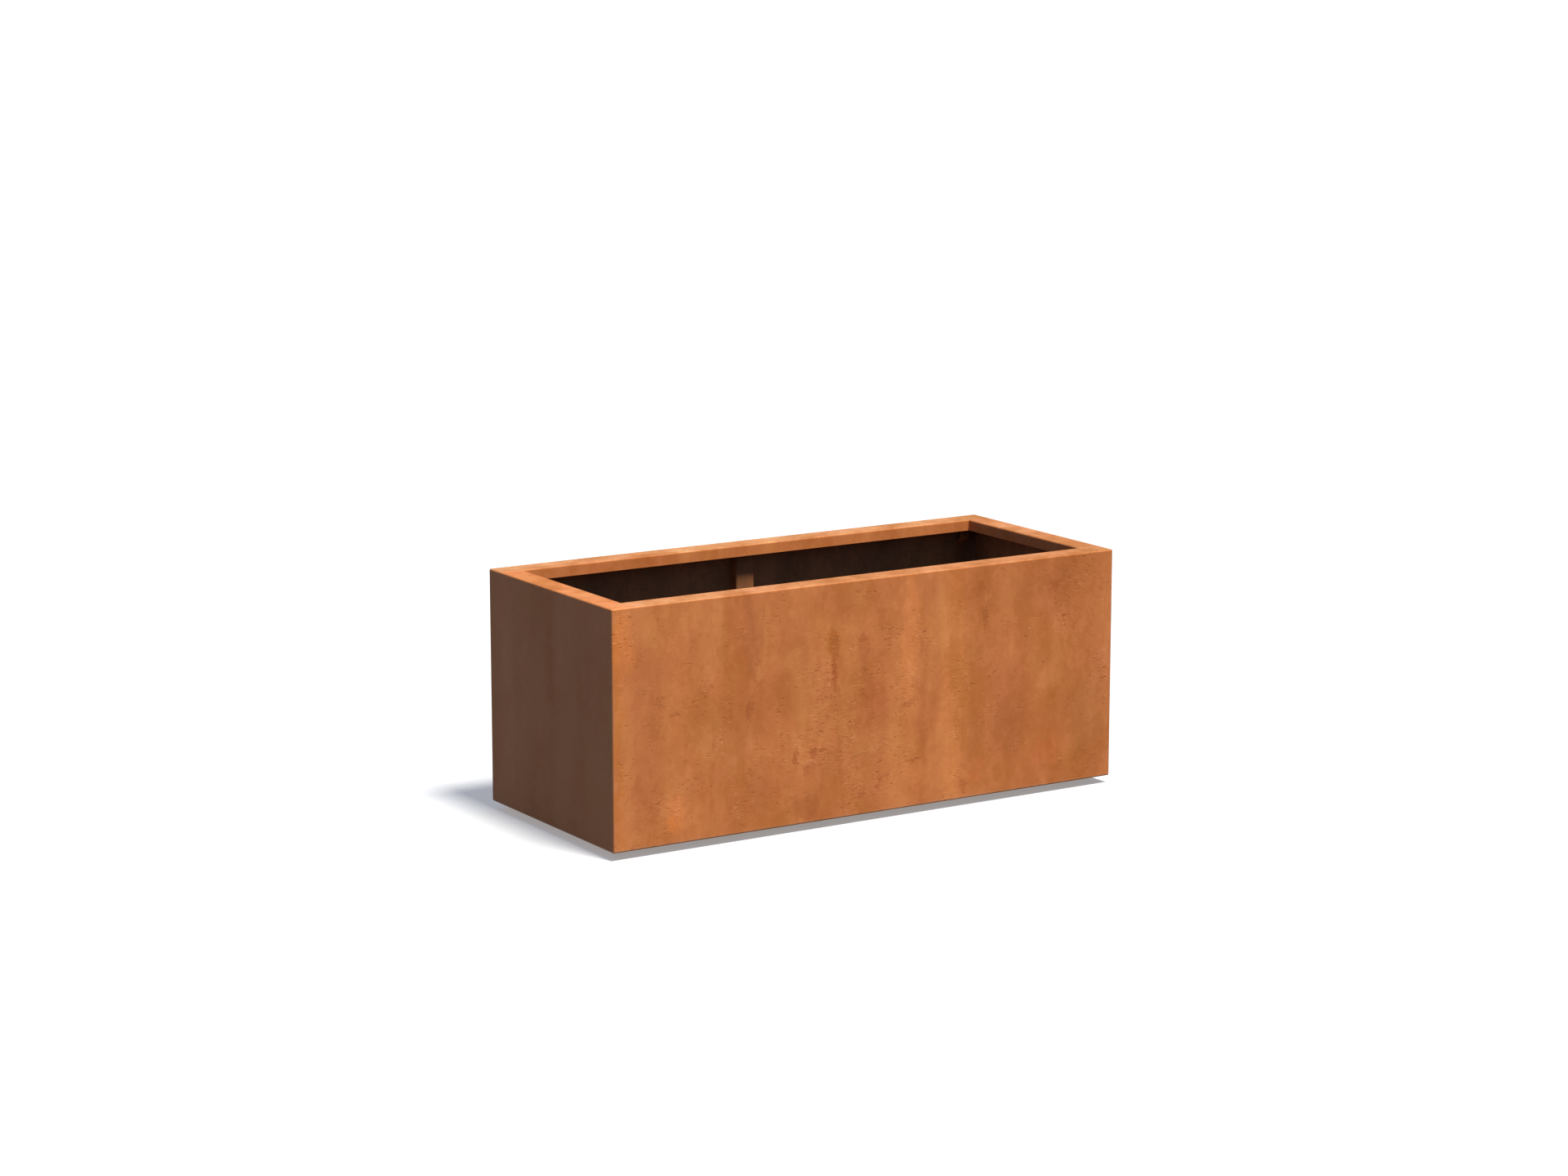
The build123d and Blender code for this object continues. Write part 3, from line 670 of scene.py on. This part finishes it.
def washer(bm, place, d, hole, t):
    """Punched washer: rolled over on one side, sharp on the other."""
    ro, ri = d / 2, hole / 2
    prof = [(ri, 0.12), (ri + 0.12, 0.0), (ro - 0.35, 0.0), (ro - 0.1, 0.12), (ro, 0.4), (ro, t - 0.1), (ro - 0.1, t),
            (ri + 0.25, t), (ri + 0.07, t - 0.1), (ri, t - 0.35)]
    verts = grid_solid(bm, [ring_at(z, r) for r, z in prof], place, cap=False)
    a, b = verts[-1], verts[0]
    for i in range(SEGS):
        j = (i + 1) % SEGS
        bm.faces.new((a[i], a[j], b[j], b[i]))


TY = W / 2 - SHEET - 25.0
TIE_X = -3.0


def facing_in(side, x, seat, z, spin):
    """Local +Z looks from the wall on this side into the box; spin turns the piece about its axis."""
    c, s = math.cos(math.radians(spin)), math.sin(math.radians(spin))
    if side > 0:
        return lambda a, b, h: (x + a * c - b * s, seat - h, z + a * s + b * c)
    return lambda a, b, h: (x - a * c + b * s, seat + h, z + a * s + b * c)


bolts, washers, nuts = bmesh.new(), bmesh.new(), bmesh.new()
for k, (side, dz) in enumerate(((-1, -11), (-1, 11), (1, -11), (1, 11))):
    spin = (30, 30, 30, 30)[k]
    hex_bolt(bolts, facing_in(side, TIE_X, side * (TY - 6.6), 300.0 + dz, spin))
    washer(washers, facing_in(side, TIE_X, side * (TY - 5.0), 300.0 + dz, 0), 16.0, 8.4, 1.6)
    weld_nut(nuts, facing_in(side, TIE_X, side * (TY + 8.5), 300.0 + dz, spin), 13.0, 6.5, 4.05, 1.25, 0.55, 1, 1)
hand_in(object_from(bolts, "tie_screws", [STEEL], 32), "planter", "stainless_fasteners", "tie_bolts")
hand_in(object_from(washers, "tie_screw_washers", [STEEL], 40), "planter", "stainless_fasteners", "tie_washers")
hand_in(object_from(nuts, "tie_nuts", [STEEL], 32), "planter", "stainless_fasteners", "tie_weld_nuts")

foot_nuts = bmesh.new()
for _, sx, sy in CORNERS:
    weld_nut(foot_nuts, lambda a, b, h, sx=sx, sy=sy: (sx * 440 + b, sy * 150 - a, 21.0 + h), 17.0, 8.0, 5.05, 1.5, 0.6, 0, 1)
hand_in(object_from(foot_nuts, "foot_nuts", [STEEL], 32), "planter", "stainless_fasteners", "foot_weld_nuts")

for name, sx, sy in CORNERS:
    at = lambda a, b, h, sx=sx, sy=sy: (sx * 440 + a, sy * 150 + b, h)
    # the swivel pad: a moulded disc with a rolled foot edge, a coned top with a shallow ring and a deep socket
    prof = [(0.0, 0.35), (16.5, 0.35), (17.0, 0.0)]
    prof += [(25.0 - 1.0 + math.sin(math.radians(a)), 1.0 - math.cos(math.radians(a))) for a in (0, 30, 60, 90)]
    prof += [(25.0, 3.0), (24.85, 3.6), (24.45, 4.1), (23.9, 4.45), (23.3, 4.75)]
    prof += [(20.2, 6.18), (19.8, 6.15), (19.2, 6.45), (18.9, 6.78)]
    prof += [(14.2, 9.0), (13.4, 9.45), (12.8, 9.8), (12.2, 9.96), (11.6, 10.0), (6.75, 10.0), (6.3, 9.85), (6.05, 9.5)]
    prof += [(6.05, 3.4), (5.7, 3.0), (0.0, 3.0)]
    bm = bmesh.new()
    rings = [ring_at(z, r) for r, z in prof[1:-1]]
    grid_solid(bm, rings, at)
    pad = object_from(bm, "swivel_pad_" + name, [PLASTIC], 34)
    hand_in(pad, "pad_" + name, "black_polyamide", "foot_pad_" + name)
    # the stud: ball-nosed journal, hexagon and threaded shank
    bm = bmesh.new()
    rings = [ring_at(3.05, 4.9), ring_at(3.15, 5.35), ring_at(3.45, 5.75), ring_at(3.9, 6.0), ring_at(10.1, 6.0), ring_at(10.4, 6.6)]
    rings += hex_rings(17.0, 10.5, 14.5, 1, 1)
    rings += [ring_at(14.5, 5.6), ring_at(14.75, 5.0)]
    rings += screw_rings(5.0, 1.5, 0.80, 14.9, 44.0, 1.2, steps=8)
    grid_solid(bm, rings, at)
    stud = object_from(bm, "levelling_stud_" + name, [STEEL], 32)
    hand_in(stud, "stud_" + name, "stainless_fasteners", "foot_stud_" + name)


# ================================================================ weld beads
def bead(bm, start, end, a_dir, b_dir, leg, seed, step=0.8, convex=0.0, quarter=False):
    """A fillet bead in the corner between directions a_dir and b_dir, with ripples like stacked coins and soft ends."""
    start, end = Vector(start), Vector(end)
    run = (end - start).length
    axis = (end - start).normalized()
    a_dir, b_dir = Vector(a_dir), Vector(b_dir)
    n = max(10, int(run / step))
    m = 9
    rings = []
    for i in range(n + 1):
        s = run * i / n
        ends = min(1.0, s / (leg * 0.55), (run - s) / (leg * 0.55))
        size = leg * (0.45 + 0.55 * math.sqrt(max(0.0, 1 - (1 - ends) ** 2)))
        wob = noise.noise(Vector((s / 9.0, seed * 3.1, 0.5)))
        size *= 0.965 + 0.035 * wob
        pts = [(-0.15, -0.15)]
        for j in range(m + 1):
            ang = math.radians(90.0 * j / m)
            # the ripple bows forward in the middle of the bead
            ph = (s + 1.5 * math.sin(2 * ang)) / 2.3 + 0.25 * noise.noise(Vector((s / 17.0, seed, 2.2)))
            rip = 0.16 * (abs((ph % 1.0) - 0.5) * 2.0) ** 0.6
            if quarter:
                r = size - rip * math.sin(2 * ang) ** 0.5 if 0 < j < m else size
            else:
                chord = size / (math.cos(ang) + math.sin(ang))
                r = chord * (1.0 + convex * math.sin(2 * ang)) - rip * math.sin(2 * ang)
            pts.append((r * math.cos(ang), r * math.sin(ang)))
        rings.append([tuple(start + axis * s + a_dir * p[0] + b_dir * p[1]) for p in pts])
    grid_solid(bm, rings, lambda x, y, z: (x, y, z))


bm = bmesh.new()
for k, (_, sx, sy) in enumerate(CORNERS):
    bead(bm, (sx * 598, sy * 248, 51.2), (sx * 598, sy * 248, 493.8), (-sx, 0, 0), (0, -sy, 0), 5.0, 1.7 + k, step=0.7, quarter=True)
hand_in(object_from(bm, "corner_seam_beads", [WELD], 50), "planter", "weld_metal", "corner_welds")

bm = bmesh.new()
k = 0
for x in (-480, -240, 240, 480):
    for sy in (-1, 1):
        k += 1
        bead(bm, (x - 20, sy * 248, 51), (x + 20, sy * 248, 51), (0, -sy, 0), (0, 0, 1), 5.0, 7.3 + k, step=0.6)
for sx in (-1, 1):
    for y in (-120, 120):
        k += 1
        bead(bm, (sx * 598, y - 20, 51), (sx * 598, y + 20, 51), (-sx, 0, 0), (0, 0, 1), 5.0, 7.3 + k, step=0.6)
hand_in(object_from(bm, "stitch_beads", [WELD], 50), "planter", "weld_metal", "floor_stitch_welds")


# ================================================================ sections kept from the CAD
def dress(name, mat, width, segments=2):
    """A CAD node keeps its mesh; its edges are broken by modifiers and it gets its finish. Punched sheet stays as cut."""
    ob = NODES[name]
    ob.data.materials.clear()
    ob.data.materials.append(mat)
    if not width:
        return
    ob.data.shade_smooth()
    weld = ob.modifiers.new("join", "WELD")
    weld.merge_threshold = 1e-5
    bev = ob.modifiers.new("edges", "BEVEL")
    bev.width, bev.segments = width * MM, segments
    bev.limit_method, bev.angle_limit = "ANGLE", math.radians(40)
    wn = ob.modifiers.new("normals", "WEIGHTED_NORMAL")
    wn.mode, wn.weight, wn.keep_sharp = "FACE_AREA", 80, False


for n in ("left_floor_bearer", "right_floor_bearer"):
    dress(n, SECTION, 0.0)
for n in ("middle_floor_bearer", "front_wall_stiffener", "back_wall_stiffener", "cross_tie"):
    dress(n, SECTION, 0.45)
for name, _, _ in CORNERS:
    dress("lifting_strap_" + name, SECTION, 0.7, 3)
dress("floor_plate", FLOOR, 0.0)


# ================================================================ stage, light, camera
me = bpy.data.meshes.new("floor")
S = 300.0
me.from_pydata([(-S, -S, 0), (S, -S, 0), (S, S, 0), (-S, S, 0)], [], [(0, 1, 2, 3)])
floor = bpy.data.objects.new("floor", me)
bpy.context.scene.collection.objects.link(floor)
t = Tree("floor_white")
t.bsdf.inputs["Base Color"].default_value = (0.428, 0.464, 0.530, 1)
t.bsdf.inputs["Roughness"].default_value = 0.9
t.bsdf.inputs["Specular IOR Level"].default_value = 0.1
t.bsdf.inputs["Emission Color"].default_value = (0.313, 0.293, 0.280, 1)
t.bsdf.inputs["Emission Strength"].default_value = 1.0
me.materials.append(t.mat)
floor.visible_diffuse = False

world = bpy.data.worlds.new("studio")
bpy.context.scene.world = world
world.use_nodes = True
wt = world.node_tree
wt.nodes.clear()
wo = wt.nodes.new("ShaderNodeOutputWorld")
bg = wt.nodes.new("ShaderNodeBackground")
tc = wt.nodes.new("ShaderNodeTexCoord")
sep = wt.nodes.new("ShaderNodeSeparateXYZ")
rp = wt.nodes.new("ShaderNodeValToRGB")
ad = wt.nodes.new("ShaderNodeMath")
ad.operation = "MULTIPLY_ADD"
ad.inputs[1].default_value, ad.inputs[2].default_value = 0.5, 0.5
wt.links.new(tc.outputs["Generated"], sep.inputs[0])
wt.links.new(sep.outputs["Z"], ad.inputs[0])
wt.links.new(ad.outputs[0], rp.inputs[0])
stops = [
    (0.0, (0.10, 0.105, 0.115)),
    (0.46, (0.10, 0.105, 0.115)),
    (0.52, (0.16, 0.25, 0.38)),
    (1.0, (0.16, 0.25, 0.38)),
]
el = rp.color_ramp.elements
while len(el) < len(stops):
    el.new(0.5)
for e, (p, c) in zip(el, stops):
    e.position, e.color = p, (*c, 1.0)
wt.links.new(rp.outputs[0], bg.inputs[0])
bg.inputs[1].default_value = 1.0
wt.links.new(bg.outputs[0], wo.inputs[0])

sun = bpy.data.lights.new("sun", "SUN")
sun.energy = 6.35
sun.color = (1.0, 0.90, 0.74)
sun.angle = math.radians(13.0)
so = bpy.data.objects.new("sun", sun)
travel = Vector((-0.082, 0.384, -0.916))
so.rotation_mode = "QUATERNION"
so.rotation_quaternion = travel.to_track_quat("-Z", "Y")
bpy.context.scene.collection.objects.link(so)

cam = bpy.data.cameras.new("camera")
co = bpy.data.objects.new("camera", cam)
bpy.context.scene.collection.objects.link(co)
a, e, roll = math.radians(-32.26315), math.radians(11.0338), math.radians(0.01701)
back = Vector((math.sin(a) * math.cos(e), -math.cos(a) * math.cos(e), math.sin(e)))
co.location = (-4.12289, -6.44948, 1.93124)
co.rotation_mode = "QUATERNION"
co.rotation_quaternion = (-back).to_track_quat("-Z", "Y") @ Quaternion((0, 0, 1), roll)
cam.sensor_width = 36.0
cam.lens = 87.07679
cam.clip_end = 900.0
bpy.context.scene.camera = co
bpy.context.scene.view_settings.view_transform = "Standard"
bpy.context.scene.view_settings.look = "None"
